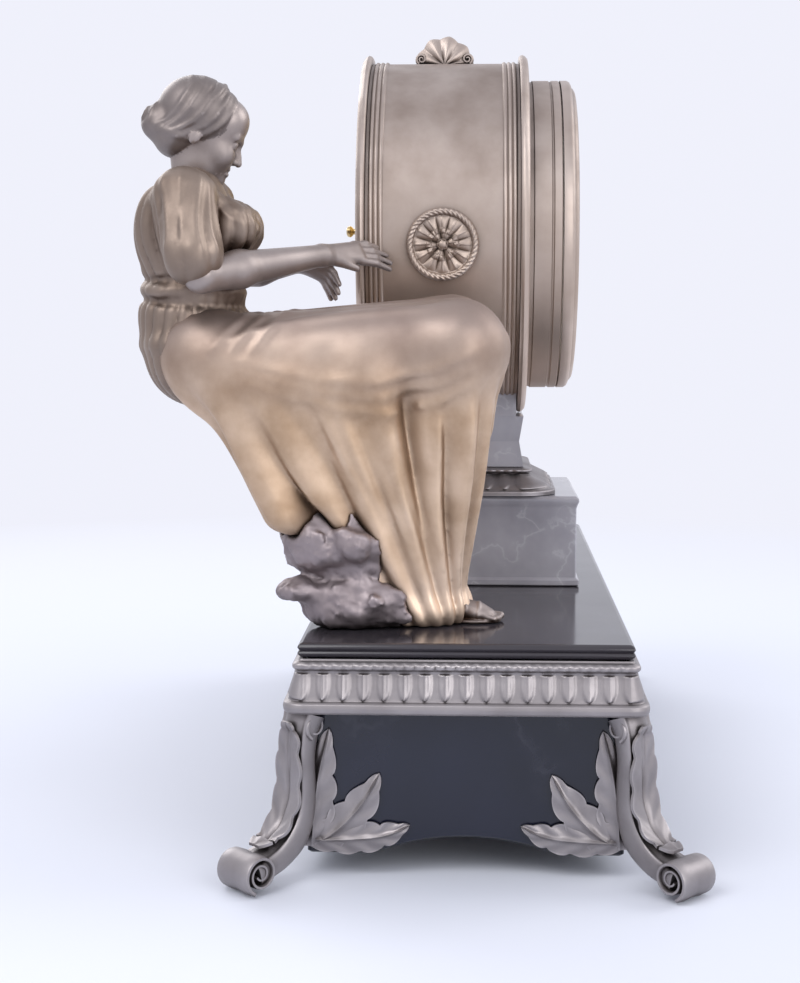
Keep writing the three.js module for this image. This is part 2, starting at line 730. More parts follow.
function head() {
  const [x, y, z] = HEAD_MIDDLE;
  const skull = egg(
    HEAD_HALF_WIDTH, HEAD_HALF_DEPTH, HEAD_HALF_HEIGHT * 0.8, HEAD_TILT,
    [x, y + HEAD_HALF_DEPTH * 0.12, z + HEAD_HALF_HEIGHT * 0.2], 8);
  const jaw = egg(
    HEAD_HALF_WIDTH * 0.74, HEAD_HALF_DEPTH * 0.62, HEAD_HALF_HEIGHT * 0.62, HEAD_TILT,
    [x, y - HEAD_HALF_DEPTH * 0.42, z - HEAD_HALF_HEIGHT * 0.36], 6);
  const nose = egg(
    HEAD_HALF_WIDTH * 0.14, HEAD_HALF_DEPTH * 0.16, HEAD_HALF_HEIGHT * 0.2, HEAD_TILT + 0.3,
    [x, y - HEAD_HALF_DEPTH * 1.0, z - HEAD_HALF_HEIGHT * 0.16], 4);
  const bun = egg(
    HEAD_HALF_WIDTH * 0.5, HEAD_HALF_DEPTH * 0.42, HEAD_HALF_HEIGHT * 0.4, 0,
    [x, y + HEAD_HALF_DEPTH * 1.05, z + HEAD_HALF_HEIGHT * 0.05], 6);
  const neck = limb([
    [FIGURE_X, SKIRT_REACH * 1.13, TORSO_BOTTOM + TORSO_HEIGHT * 0.9, NECK_RADIUS * 1.2],
    [x, y + HEAD_HALF_DEPTH * 0.2, z - HEAD_HALF_HEIGHT * 0.3, NECK_RADIUS],
  ], 14, 4);
  return cut(joined(skull, jaw, nose, bun, neck), torso(GAP));
}

// The hands lie on the drum: the near one on its flank, the far one behind its rear rim
function arm(side, elbow, wrist, fingers) {
  const shoulder = [
    FIGURE_X + side * SHOULDER_HALF_WIDTH * 0.9,
    SKIRT_REACH * 1.14,
    TORSO_BOTTOM + TORSO_HEIGHT * 0.84,
    SHOULDER_RADIUS,
  ];
  const upper = [0, 1, 2].map((i) => (shoulder[i] + elbow[i]) / 2);
  const lower = [0, 1, 2].map((i) => (elbow[i] + wrist[i]) / 2);
  const full = limb([
    shoulder,
    [...upper, (SHOULDER_RADIUS + ELBOW_RADIUS) / 2],
    [...elbow, ELBOW_RADIUS],
    [...lower, ELBOW_RADIUS],
    [...wrist, WRIST_RADIUS],
    [...fingers, WRIST_RADIUS * 0.8],
  ], 10, 12);
  const flange = disc(DRUM_RADIUS + FLANGE_LIP + GAP, DRUM_FRONT, DRUM_REAR + GAP, RING_SIDES)
    .translate(0, 0, DRUM_HEIGHT);
  const rest = toSolid(full).subtract(toSolid(torso(GAP))).subtract(toSolid(flange));
  const pieces = rest.decompose().sort((a, b) => b.volume() - a.volume());
  return toGeometry(pieces[0]);
}

const HAND_Z = DRUM_HEIGHT - DRUM_RADIUS * 0.12;
const ELBOW_Z = TORSO_BOTTOM + TORSO_HEIGHT * 0.47;
const FLANK_X = -DRUM_RADIUS - FLANGE_LIP;

function foot() {
  const stations = [[-0.3, 0.12, 1.2, 1], [-0.32, 0, 1, 0.9], [-0.34, -0.1, 0.6, 0.6]];
  const toe = limb(stations.map(([across, forward, rise, size]) => [
    FIGURE_X + across * SKIRT_HALF_WIDTH,
    forward * SKIRT_REACH,
    BASE_HEIGHT + rise * FOOT_RADIUS,
    size * FOOT_RADIUS,
  ]), 10, 6);
  const plinthRoom = block(
    [-PLINTH_LENGTH, -PLINTH_LENGTH, 0],
    [PLINTH_LENGTH, PLINTH_LENGTH, SKIRT_BOTTOM],
  );
  const rest = toSolid(toe).subtract(toSolid(skirt(GAP))).subtract(toSolid(plinthRoom));
  const pieces = rest.decompose().sort((a, b) => b.volume() - a.volume());
  return toGeometry(pieces[0]);
}

addPiece('rock_seat', rockSeat(), BRONZE);
addPiece('figure_skirt', skirt(0), GILT);
addPiece('figure_torso', cut(torso(0), skirt(GAP)), SKIN_BRONZE);
addPiece('figure_head', head(), SKIN_BRONZE);
addPiece('figure_right_arm', arm(
  -1,
  [FIGURE_X - SHOULDER_HALF_WIDTH * 1.2, SKIRT_REACH * 0.94, ELBOW_Z],
  [FLANK_X - SHOULDER_HALF_WIDTH * 0.8, DRUM_REAR + WRIST_RADIUS, HAND_Z],
  [FLANK_X - WRIST_RADIUS * 1.2, DRUM_REAR - SHOULDER_HALF_WIDTH * 0.45, HAND_Z - GAP],
), SKIN_BRONZE);
addPiece('figure_left_arm', arm(
  1,
  [FIGURE_X + SHOULDER_HALF_WIDTH * 1.1, SKIRT_REACH * 0.96, ELBOW_Z],
  [FLANK_X + WRIST_RADIUS, DRUM_REAR + SHOULDER_HALF_WIDTH * 0.5, HAND_Z],
  [FLANK_X + WRIST_RADIUS * 1.5, DRUM_REAR + WRIST_RADIUS, HAND_Z],
), SKIN_BRONZE);
addPiece('figure_foot', foot(), SKIN_BRONZE);

// Drum case: shell, two flanges, collar, straps, rosettes and crest

const COLLAR_RADIUS = DRUM_RADIUS - COLLAR_INSET;
const BEZEL_SIGHT_RADIUS = COLLAR_RADIUS - BEZEL_WIDTH;
const DOOR_RADIUS = DRUM_RADIUS - DOOR_INSET;
const SHELL_FRONT = DRUM_FRONT + FLANGE_THICKNESS + GAP;
const SHELL_REAR = DRUM_REAR - FLANGE_THICKNESS - GAP;
const FLANGE_RADIUS = DRUM_RADIUS + FLANGE_LIP;
const COLLAR_FRONT = DRUM_FRONT - COLLAR_LENGTH;
const COLLAR_INNER = COLLAR_RADIUS - COLLAR_WALL;
const STRAP_PLACE = (COLLAR_INNER + DRUM_RADIUS) / 2;

const drum = new THREE.Group();
drum.position.z = DRUM_HEIGHT;
clock.add(drum);

// A cylinder along Y at a place in the drum
function rodY(radius, y0, y1, x = 0, z = 0, segments = 12) {
  return disc(radius, y0, y1, segments).translate(x, 0, z);
}

function frontFlange() {
  return turned([
    [COLLAR_INNER, DRUM_FRONT + FLANGE_THICKNESS],
    [COLLAR_INNER, DRUM_FRONT],
    [FLANGE_RADIUS - FLANGE_THICKNESS / 2, DRUM_FRONT],
    [FLANGE_RADIUS, DRUM_FRONT + FLANGE_THICKNESS / 2],
    [FLANGE_RADIUS, DRUM_FRONT + FLANGE_THICKNESS],
    [COLLAR_INNER, DRUM_FRONT + FLANGE_THICKNESS],
  ], RING_SIDES);
}

function rearFlange() {
  const inner = DOOR_RADIUS + GAP;
  const flange = turned([
    [inner, DRUM_REAR],
    [inner, DRUM_REAR - DOOR_THICKNESS - GAP],
    [inner - FLANGE_THICKNESS, DRUM_REAR - DOOR_THICKNESS - GAP],
    [inner - FLANGE_THICKNESS, DRUM_REAR - FLANGE_THICKNESS],
    [FLANGE_RADIUS, DRUM_REAR - FLANGE_THICKNESS],
    [FLANGE_RADIUS, DRUM_REAR - FLANGE_THICKNESS / 2],
    [FLANGE_RADIUS - FLANGE_THICKNESS / 2, DRUM_REAR],
    [inner, DRUM_REAR],
  ], RING_SIDES);
  return joined(flange, ...hingeKnuckles(DOOR_HINGE, [-1, 1]));
}

const DIAL_BACK = COLLAR_FRONT + DIAL_THICKNESS + COLLAR_WALL + GAP;
const LEDGE_FRONT = DIAL_BACK + GAP;
const PLATE_FRONT = DIAL_BACK + DIAL_TO_PLATE;
const PLATE_REAR = PLATE_FRONT + PLATE_THICKNESS;
const BACK_PLATE_FRONT = PLATE_REAR + PLATE_SPACING;
const BACK_PLATE_REAR = BACK_PLATE_FRONT + PLATE_THICKNESS;

// The collar carries the dial on an inner ledge and the bezel's outer knuckles
function collar() {
  const ledge = COLLAR_INNER - LEDGE_WIDTH;
  const body = turned([
    [COLLAR_INNER, COLLAR_FRONT],
    [COLLAR_RADIUS, COLLAR_FRONT],
    [COLLAR_RADIUS, DRUM_FRONT - GAP],
    [COLLAR_INNER, DRUM_FRONT - GAP],
    [COLLAR_INNER, PLATE_FRONT - GAP],
    [ledge, PLATE_FRONT - GAP],
    [ledge, LEDGE_FRONT],
    [COLLAR_INNER, LEDGE_FRONT],
    [COLLAR_INNER, COLLAR_FRONT],
  ], RING_SIDES);
  return joined(body, ...hingeKnuckles(BEZEL_HINGE, [-1, 1]));
}

// A hinge stands beside its ring on the far side, with knuckles above, between and below
const KNUCKLE_LENGTH = 8;
const BEZEL_REAR = COLLAR_FRONT - GAP;
const BEZEL_FRONT = BEZEL_REAR - BEZEL_THICKNESS;
const BEZEL_HINGE = {
  x: COLLAR_RADIUS + KNUCKLE_RADIUS + GAP,
  y: BEZEL_REAR - GAP,
  movingLeafY: [BEZEL_REAR - KNUCKLE_RADIUS, BEZEL_REAR],
  fixedLeafY: [COLLAR_FRONT, COLLAR_FRONT + KNUCKLE_RADIUS],
  leafX: COLLAR_RADIUS - COLLAR_WALL / 2,
  fixedX: COLLAR_RADIUS - COLLAR_WALL / 2,
};
const DOOR_HINGE = {
  x: DOOR_RADIUS + FLANGE_THICKNESS,
  y: DRUM_REAR + KNUCKLE_RADIUS + GAP,
  movingLeafY: [DRUM_REAR + GAP, DRUM_REAR + GAP + DOOR_THICKNESS],
  fixedLeafY: [DRUM_REAR - GAP, DRUM_REAR + KNUCKLE_RADIUS],
  leafX: DOOR_RADIUS - FLANGE_THICKNESS,
  fixedX: DOOR_RADIUS + 2 * GAP,
};

function hingeKnuckles(hinge, sides) {
  return sides.map((side) => {
    const [z0, z1] = [
      side * KNUCKLE_LENGTH - KNUCKLE_LENGTH / 2 + GAP / 2,
      side * KNUCKLE_LENGTH + KNUCKLE_LENGTH / 2 - GAP / 2,
    ];
    const barrel = new THREE.CylinderGeometry(KNUCKLE_RADIUS, KNUCKLE_RADIUS, z1 - z0, 12)
      .rotateX(Math.PI / 2).translate(hinge.x, hinge.y, (z0 + z1) / 2);
    const [y0, y1] = side === 0 ? hinge.movingLeafY : hinge.fixedLeafY;
    const innerX = side === 0 ? hinge.leafX : hinge.fixedX;
    const leaf = block([innerX, y0, z0], [hinge.x, y1, z1]);
    const radius = HINGE_PIN_RADIUS + RUNNING_GAP;
    const bore = new THREE.CylinderGeometry(radius, radius, 2 * KNUCKLE_LENGTH, 12)
      .rotateX(Math.PI / 2).translate(hinge.x, hinge.y, (z0 + z1) / 2);
    return cut(joined(barrel, leaf), bore);
  });
}

function hingePin(hinge) {
  const length = 3 * KNUCKLE_LENGTH + 2 * HINGE_PIN_RADIUS;
  const shank = new THREE.CylinderGeometry(HINGE_PIN_RADIUS, HINGE_PIN_RADIUS, length, 12);
  const knob = new THREE.SphereGeometry(KNUCKLE_RADIUS * 0.8, 8, 6)
    .translate(0, length / 2 + KNUCKLE_RADIUS * 0.6, 0);
  return joined(shank, knob).rotateX(Math.PI / 2).translate(hinge.x, hinge.y, 0);
}

function strap(side) {
  return rodY(STRAP_RADIUS, SHELL_FRONT, SHELL_REAR, side * STRAP_PLACE);
}

function rosette(side) {
  const rise = ROSETTE_RISE;
  const profile = [
    [0, 0], [ROSETTE_RADIUS, 0], [ROSETTE_RADIUS, rise * 0.75], [ROSETTE_RADIUS * 0.88, rise],
    [ROSETTE_RADIUS * 0.72, rise * 0.7], [ROSETTE_RADIUS * 0.4, rise * 0.7],
    [ROSETTE_RADIUS * 0.3, rise * 0.95], [0, rise * 1.05],
  ];
  const button = turned(profile, 24)
    .rotateZ(-side * Math.PI / 2)
    .translate(side * (DRUM_RADIUS - rise * 0.5), ROSETTE_Y, ROSETTE_Z);
  const room = disc(DRUM_RADIUS + GAP, DRUM_FRONT, DRUM_REAR, RING_SIDES);
  return cut(button, room);
}

const ROSETTE_Y = (DRUM_FRONT + DRUM_REAR) / 2;
const ROSETTE_Z = -DRUM_RADIUS * 0.08;

function crest() {
  const shape = new THREE.Shape();
  const lobes = 7;
  const base = -FINIAL_HEIGHT * 0.5;
  shape.moveTo(-FINIAL_WIDTH / 2, base);
  const steps = lobes * 4;
  for (let i = 0; i <= steps; i += 1) {
    const angle = Math.PI - i * Math.PI / steps;
    const scallop = 1 - 0.14 * Math.abs(Math.cos(lobes * angle / 2 + Math.PI / 2));
    shape.lineTo(
      FINIAL_WIDTH / 2 * scallop * Math.cos(angle),
      FINIAL_HEIGHT * scallop * Math.sin(angle),
    );
  }
  shape.lineTo(FINIAL_WIDTH / 2, base);
  const shell = new THREE.ExtrudeGeometry(shape, { depth: FINIAL_THICKNESS, bevelEnabled: false })
    .translate(0, 0, -FINIAL_THICKNESS / 2)
    .rotateX(Math.PI / 2)
    .rotateZ(Math.PI / 2)
    .translate(0, ROSETTE_Y, DRUM_RADIUS);
  return cut(shell, disc(DRUM_RADIUS + GAP, DRUM_FRONT, DRUM_REAR, RING_SIDES));
}

function drumShell() {
  return ring(DRUM_RADIUS - DRUM_WALL, DRUM_RADIUS, SHELL_FRONT, SHELL_REAR, RING_SIDES);
}

addPiece('drum_shell', closed(drumShell()), BRONZE, drum);
addPiece('front_flange', closed(frontFlange()), BRONZE, drum);
addPiece('rear_flange', rearFlange(), BRONZE, drum);
addPiece('front_collar', collar(), BRONZE, drum);
addPiece('strap_left', closed(strap(-1)), STEEL, drum);
addPiece('strap_right', closed(strap(1)), STEEL, drum);
addPiece('rosette_left', rosette(-1), BRONZE, drum);
addPiece('rosette_right', rosette(1), BRONZE, drum);
addPiece('shell_crest', crest(), BRONZE, drum);
addPiece('bezel_hinge_pin', hingePin(BEZEL_HINGE), STEEL, drum);
addPiece('door_hinge_pin', hingePin(DOOR_HINGE), STEEL, drum);

// Glazed bezel and rear door

const GLASS_RADIUS = BEZEL_SIGHT_RADIUS + COLLAR_WALL;
const REBATE_FRONT = BEZEL_FRONT + BEZEL_THICKNESS / 2;

function bezel() {
  const body = turned([
    [BEZEL_SIGHT_RADIUS, BEZEL_FRONT + BEZEL_THICKNESS / 4],
    [BEZEL_SIGHT_RADIUS + COLLAR_WALL, BEZEL_FRONT],
    [COLLAR_RADIUS - COLLAR_WALL, BEZEL_FRONT],
    [COLLAR_RADIUS, BEZEL_FRONT + BEZEL_THICKNESS / 3],
    [COLLAR_RADIUS, BEZEL_REAR],
    [GLASS_RADIUS + GAP, BEZEL_REAR],
    [GLASS_RADIUS + GAP, REBATE_FRONT],
    [BEZEL_SIGHT_RADIUS, REBATE_FRONT],
    [BEZEL_SIGHT_RADIUS, BEZEL_FRONT + BEZEL_THICKNESS / 4],
  ], RING_SIDES);
  return joined(body, ...hingeKnuckles(BEZEL_HINGE, [0]));
}

function glass() {
  return disc(GLASS_RADIUS, REBATE_FRONT + GAP, REBATE_FRONT + GAP + GLASS_THICKNESS, RING_SIDES);
}

function rearDoor() {
  const plate = disc(DOOR_RADIUS, DRUM_REAR - DOOR_THICKNESS, DRUM_REAR, RING_SIDES);
  const pad = block(
    [DOOR_RADIUS - 2 * FLANGE_THICKNESS, DRUM_REAR - GAP, GAP / 2 - KNUCKLE_LENGTH / 2],
    [DOOR_RADIUS, DRUM_REAR + GAP + DOOR_THICKNESS, KNUCKLE_LENGTH / 2 - GAP / 2],
  );
  const knobRear = DRUM_REAR + 2 * KNUCKLE_RADIUS;
  const knob = rodY(KNUCKLE_RADIUS, DRUM_REAR - GAP, knobRear, -DOOR_RADIUS * 0.86);
  return joined(plate, pad, knob, ...hingeKnuckles(DOOR_HINGE, [0]));
}

addPiece('bezel', bezel(), BRONZE, drum);
addPiece('bezel_glass', closed(glass()), GLASS, drum);
addPiece('rear_door', rearDoor(), BRASS, drum);

// Movement. Places across the plates are [x, z] from the dial's centre

const pitch = (teeth, gearModule = GEAR_MODULE) => teeth * gearModule / 2;
const BARREL_DISTANCE = pitch(BARREL_TEETH) + pitch(CENTRE_PINION_TEETH);
const barrelTurn = THREE.MathUtils.degToRad(BARREL_ANGLE);
const GOING_PLACE = [
  -BARREL_DISTANCE * Math.cos(barrelTurn),
  -BARREL_DISTANCE * Math.sin(barrelTurn),
];
const STRIKE_PLACE = [-GOING_PLACE[0], GOING_PLACE[1]];
const ESCAPE_PLACE = [0, ESCAPE_HEIGHT];
const THIRD_DISTANCE = pitch(CENTRE_WHEEL_TEETH) + pitch(THIRD_PINION_TEETH);
const ESCAPE_DISTANCE = pitch(THIRD_WHEEL_TEETH) + pitch(ESCAPE_PINION_TEETH);
const distanceSquares = THIRD_DISTANCE ** 2 - ESCAPE_DISTANCE ** 2;
const thirdZ = (distanceSquares + ESCAPE_HEIGHT ** 2) / (2 * ESCAPE_HEIGHT);
const THIRD_PLACE = [Math.sqrt(THIRD_DISTANCE ** 2 - thirdZ ** 2), thirdZ];
const MOTION_DISTANCE = pitch(CANNON_TEETH) + pitch(MINUTE_WHEEL_TEETH);
const MINUTE_PLACE = [0, MOTION_DISTANCE];
const HOUR_MODULE = 2 * MOTION_DISTANCE / (MINUTE_PINION_TEETH + HOUR_WHEEL_TEETH);
const PILLAR_SPREAD = PLATE_RADIUS - PILLAR_RADIUS - STRAP_RADIUS;

// Teeth as slim trapezoids, so that meshed wheels never touch; turned so that a tooth or a gap
// points at the given angle
function wheelOutline(teeth, gearModule, angle, toothFacing) {
  const radius = pitch(teeth, gearModule);
  const [tip, root] = [radius + 0.75 * gearModule, radius - 0.95 * gearModule];
  const step = 2 * Math.PI / teeth;
  const start = angle + (toothFacing ? 0 : step / 2);
  const halfShares = [[root, -0.3], [tip, -0.1], [tip, 0.1], [root, 0.3]];
  const points = [];
  for (let i = 0; i < teeth; i += 1) {
    halfShares.forEach(([r, share]) => {
      const a = start + (i + share) * step;
      points.push(new THREE.Vector2(r * Math.cos(a), r * Math.sin(a)));
    });
  }
  return points;
}

function platePiece(points, y0, y1, place = [0, 0], bore = 0) {
  const shape = new THREE.Shape(points);
  if (bore > 0) shape.holes.push(new THREE.Path().absarc(0, 0, bore, 0, 2 * Math.PI, true));
  return new THREE.ExtrudeGeometry(shape, { depth: y1 - y0, bevelEnabled: false, curveSegments: 10 })
    .rotateX(Math.PI / 2)
    .translate(place[0], y1, place[1]);
}

function gear(teeth, y0, y1, place, towards, toothFacing, gearModule = GEAR_MODULE, bore = 0) {
  const angle = Math.atan2(towards[1] - place[1], towards[0] - place[0]);
  return platePiece(wheelOutline(teeth, gearModule, angle, toothFacing), y0, y1, place, bore);
}

// Levels of the train between the plates, from the back plate forwards
const LEVEL_STEP = 2.2 * WHEEL_THICKNESS;
const level = (number) => BACK_PLATE_FRONT - LEVEL_STEP * (number + 0.8);
const BARREL_REAR = level(3) - WHEEL_THICKNESS;
const BARREL_FRONT = BARREL_REAR - BARREL_LENGTH;
const PIVOT_REAR = BACK_PLATE_REAR;
const DIAL_HOLE = WINDING_ARBOR_RADIUS + GAP;
const CENTRE = [0, 0];

// A barrel's teeth stand at one of its ends: the going barrel's drive the centre pinion
function barrel(place, teethFront) {
  const bore = WINDING_ARBOR_RADIUS + RUNNING_GAP;
  const box = rodY(pitch(BARREL_TEETH) - 2 * GEAR_MODULE, BARREL_FRONT, BARREL_REAR, ...place, 20);
  const teethRear = teethFront + WHEEL_THICKNESS;
  const teeth = gear(BARREL_TEETH, teethFront, teethRear, place, CENTRE, true);
  const drill = rodY(bore, BARREL_FRONT - OVERRUN, BARREL_REAR + OVERRUN, ...place);
  return cut(joined(box, teeth), drill);
}

function windingArbor(place) {
  const side = WINDING_ARBOR_RADIUS * Math.SQRT2;
  const round = rodY(WINDING_ARBOR_RADIUS, PLATE_FRONT - GAP, BACK_PLATE_REAR, ...place);
  const square = block(
    [place[0] - side / 2, DIAL_BACK - DIAL_THICKNESS / 2, place[1] - side / 2],
    [place[0] + side / 2, PLATE_FRONT, place[1] + side / 2],
  );
  const collarFront = BARREL_REAR + GAP;
  const collarRadius = WINDING_ARBOR_RADIUS + PIVOT_RADIUS;
  const collarRing = rodY(collarRadius, collarFront, collarFront + WHEEL_THICKNESS, ...place);
  return joined(round, square, collarRing);
}

function bore(radius, place) {
  return rodY(radius + RUNNING_GAP, PLATE_FRONT - OVERRUN, BACK_PLATE_REAR + OVERRUN, ...place);
}

const PILLAR_DEGREES = [45, 135, 235, 305];
const ARM_DEGREES = [90, 210, 330];
const pillarPlaces = PILLAR_DEGREES.map((degrees) => {
  const angle = THREE.MathUtils.degToRad(degrees);
  return [PILLAR_SPREAD * Math.cos(angle), PILLAR_SPREAD * Math.sin(angle)];
});

const ANCHOR_PLACE = [0, ANCHOR_HEIGHT];
const HAMMER_PLACE = [-(BELL_RADIUS + HAMMER_HEAD_RADIUS + BELL_WALL), -BELL_RADIUS * 0.7];
const PENDULUM_ROOM = 2 * LEDGE_WIDTH + BOB_THICKNESS + 2 * BELL_WALL;
const BELL_FRONT = BACK_PLATE_REAR + PENDULUM_ROOM;
const STAND_X = BELL_RADIUS + 3 * BELL_WALL;

function frontPlate() {
  const arms = ARM_DEGREES.map((degrees) => block(
    [PLATE_RADIUS / 2, PLATE_FRONT, -PLATE_ARM_WIDTH / 2],
    [COLLAR_INNER - 2 * GAP, PLATE_REAR, PLATE_ARM_WIDTH / 2],
  ).rotateY(-THREE.MathUtils.degToRad(degrees)));
  const pillars = pillarPlaces.map((place) => (
    rodY(PILLAR_RADIUS, PLATE_REAR - GAP, BACK_PLATE_FRONT - GAP, ...place)));
  const post = rodY(PIVOT_RADIUS, DIAL_BACK + GAP, PLATE_FRONT + GAP, ...MINUTE_PLACE);
  return cut(
    joined(disc(PLATE_RADIUS, PLATE_FRONT, PLATE_REAR, 32), ...arms, ...pillars, post),
    bore(WINDING_ARBOR_RADIUS, GOING_PLACE),
    bore(WINDING_ARBOR_RADIUS, STRIKE_PLACE),
    bore(ARBOR_RADIUS, CENTRE),
    bore(PIVOT_RADIUS, THIRD_PLACE),
    bore(PIVOT_RADIUS, ESCAPE_PLACE),
    bore(PIVOT_RADIUS, ANCHOR_PLACE),
  );
}

function backPlate() {
  return cut(
    disc(PLATE_RADIUS, BACK_PLATE_FRONT, BACK_PLATE_REAR, 32),
    bore(WINDING_ARBOR_RADIUS, GOING_PLACE),
    bore(WINDING_ARBOR_RADIUS, STRIKE_PLACE),
    bore(PIVOT_RADIUS, CENTRE),
    bore(PIVOT_RADIUS, THIRD_PLACE),
    bore(PIVOT_RADIUS, ESCAPE_PLACE),
    bore(PIVOT_RADIUS, ANCHOR_PLACE),
    bore(PIVOT_RADIUS, HAMMER_PLACE),
  );
}

// An arbor with thin pivots in both plates
function arbor(place) {
  return [
    rodY(ARBOR_RADIUS, PLATE_REAR + GAP, BACK_PLATE_FRONT - GAP, ...place, 12),
    rodY(PIVOT_RADIUS, PLATE_FRONT, PIVOT_REAR, ...place, 12),
  ];
}

const HAND_FRONT = COLLAR_FRONT + GAP;
const CANNON_LEVEL = PLATE_FRONT - GAP - WHEEL_THICKNESS;
const HOUR_LEVEL = CANNON_LEVEL - 2 * WHEEL_THICKNESS;

function centreArbor() {
  const wheelFront = level(2) - WHEEL_THICKNESS;
  const pinionFront = BARREL_REAR - 2 * WHEEL_THICKNESS;
  const pipeFront = HAND_FRONT - HAND_THICKNESS * 2;
  return joined(
    rodY(ARBOR_RADIUS, CANNON_LEVEL, BACK_PLATE_FRONT - GAP, 0, 0, 12),
    rodY(PIVOT_RADIUS, BACK_PLATE_FRONT - 2 * GAP, PIVOT_REAR, 0, 0, 12),
    rodY(CANNON_RADIUS, pipeFront, CANNON_LEVEL + WHEEL_THICKNESS / 2, 0, 0, 16),
    gear(CENTRE_PINION_TEETH, pinionFront, wheelFront, CENTRE, GOING_PLACE, false),
    gear(CENTRE_WHEEL_TEETH, wheelFront, level(2), CENTRE, THIRD_PLACE, true),
    gear(CANNON_TEETH, CANNON_LEVEL, CANNON_LEVEL + WHEEL_THICKNESS, CENTRE, MINUTE_PLACE, false),
  );
}

function thirdWheel() {
  const wheelFront = level(1) - WHEEL_THICKNESS;
  const pinionFront = level(2) - 1.5 * WHEEL_THICKNESS;
  return joined(
    ...arbor(THIRD_PLACE),
    gear(THIRD_PINION_TEETH, pinionFront, wheelFront, THIRD_PLACE, CENTRE, false),
    gear(THIRD_WHEEL_TEETH, wheelFront, level(1), THIRD_PLACE, ESCAPE_PLACE, true),
  );
}

// Each hooked tooth as a share of the radius and of the step round the wheel
const ESCAPE_TOOTH_SHARES = [[0.78, 0], [1, 0.05], [0.8, 0.6]];

function escapeWheel() {
  const step = 2 * Math.PI / ESCAPE_TEETH;
  const points = [];
  for (let i = 0; i < ESCAPE_TEETH; i += 1) {
    ESCAPE_TOOTH_SHARES.forEach(([radiusShare, share]) => {
      const angle = (i + share) * step;
      const r = radiusShare * ESCAPE_RADIUS;
      points.push(new THREE.Vector2(r * Math.cos(angle), r * Math.sin(angle)));
    });
  }
  const wheelFront = level(0) - WHEEL_THICKNESS;
  const pinionFront = level(1) - 1.5 * WHEEL_THICKNESS;
  return joined(
    ...arbor(ESCAPE_PLACE),
    platePiece(points, wheelFront, level(0), ESCAPE_PLACE),
    gear(ESCAPE_PINION_TEETH, pinionFront, wheelFront, ESCAPE_PLACE, THIRD_PLACE, false),
  );
}

// Pallets stand just clear of the escape wheel's teeth, so the wheel can be turned by itself
function anchor() {
  const drop = ANCHOR_HEIGHT - ESCAPE_HEIGHT;
  const spread = ESCAPE_RADIUS * 0.8;
  const outline = [
    [-spread * 1.05, -drop * 0.42], [-spread * 1.2, -drop * 0.2], [-spread * 0.5, drop * 0.16],
    [spread * 0.5, drop * 0.16], [spread * 1.2, -drop * 0.2], [spread * 1.05, -drop * 0.42],
    [spread * 0.82, -drop * 0.24], [0, -drop * 0.12], [-spread * 0.82, -drop * 0.24],
  ].map(([x, z]) => new THREE.Vector2(x, z));
  const crutchFront = BACK_PLATE_REAR + GAP;
  const crutchRear = crutchFront + WHEEL_THICKNESS;
  const forkZ = ANCHOR_HEIGHT - PENDULUM_LENGTH * 0.3;
  const prongReach = PENDULUM_Y + PENDULUM_ROD_RADIUS;
  const slot = PENDULUM_ROD_RADIUS + GAP;
  const forkTop = forkZ + WHEEL_THICKNESS;
  const prongs = [-slot - ARBOR_RADIUS, slot].map((left) => block(
    [left, crutchFront, forkZ],
    [left + ARBOR_RADIUS, prongReach, forkTop],
  ));
  return joined(
    rodY(ARBOR_RADIUS, PLATE_REAR + GAP, BACK_PLATE_FRONT - GAP, ...ANCHOR_PLACE, 12),
    rodY(PIVOT_RADIUS, PLATE_FRONT, crutchRear, ...ANCHOR_PLACE, 12),
    platePiece(outline, level(0) - WHEEL_THICKNESS, level(0), ANCHOR_PLACE),
    block([-ARBOR_RADIUS, crutchFront, forkZ], [ARBOR_RADIUS, crutchRear, ANCHOR_HEIGHT + ARBOR_RADIUS]),
    block([-slot - ARBOR_RADIUS, crutchFront, forkZ], [slot + ARBOR_RADIUS, crutchRear, forkTop]),
    ...prongs,
  );
}

const PENDULUM_Y = BACK_PLATE_REAR + LEDGE_WIDTH + BOB_THICKNESS / 2;
const STUD_RADIUS = 1.2;
const EYE_RADIUS = 3;

function suspensionCock() {
  const top = ANCHOR_HEIGHT + EYE_RADIUS + ARBOR_RADIUS;
  const rear = PENDULUM_Y + BOB_THICKNESS / 2 + PLATE_THICKNESS;
  return joined(
    block([-EYE_RADIUS, BACK_PLATE_REAR + GAP, top], [EYE_RADIUS, rear, top + EYE_RADIUS]),
    block(
      [-EYE_RADIUS, rear - PLATE_THICKNESS, ANCHOR_HEIGHT - EYE_RADIUS],
      [EYE_RADIUS, rear, top + EYE_RADIUS],
    ),
    rodY(STUD_RADIUS, PENDULUM_Y - PLATE_THICKNESS, rear - GAP, ...ANCHOR_PLACE),
  );
}

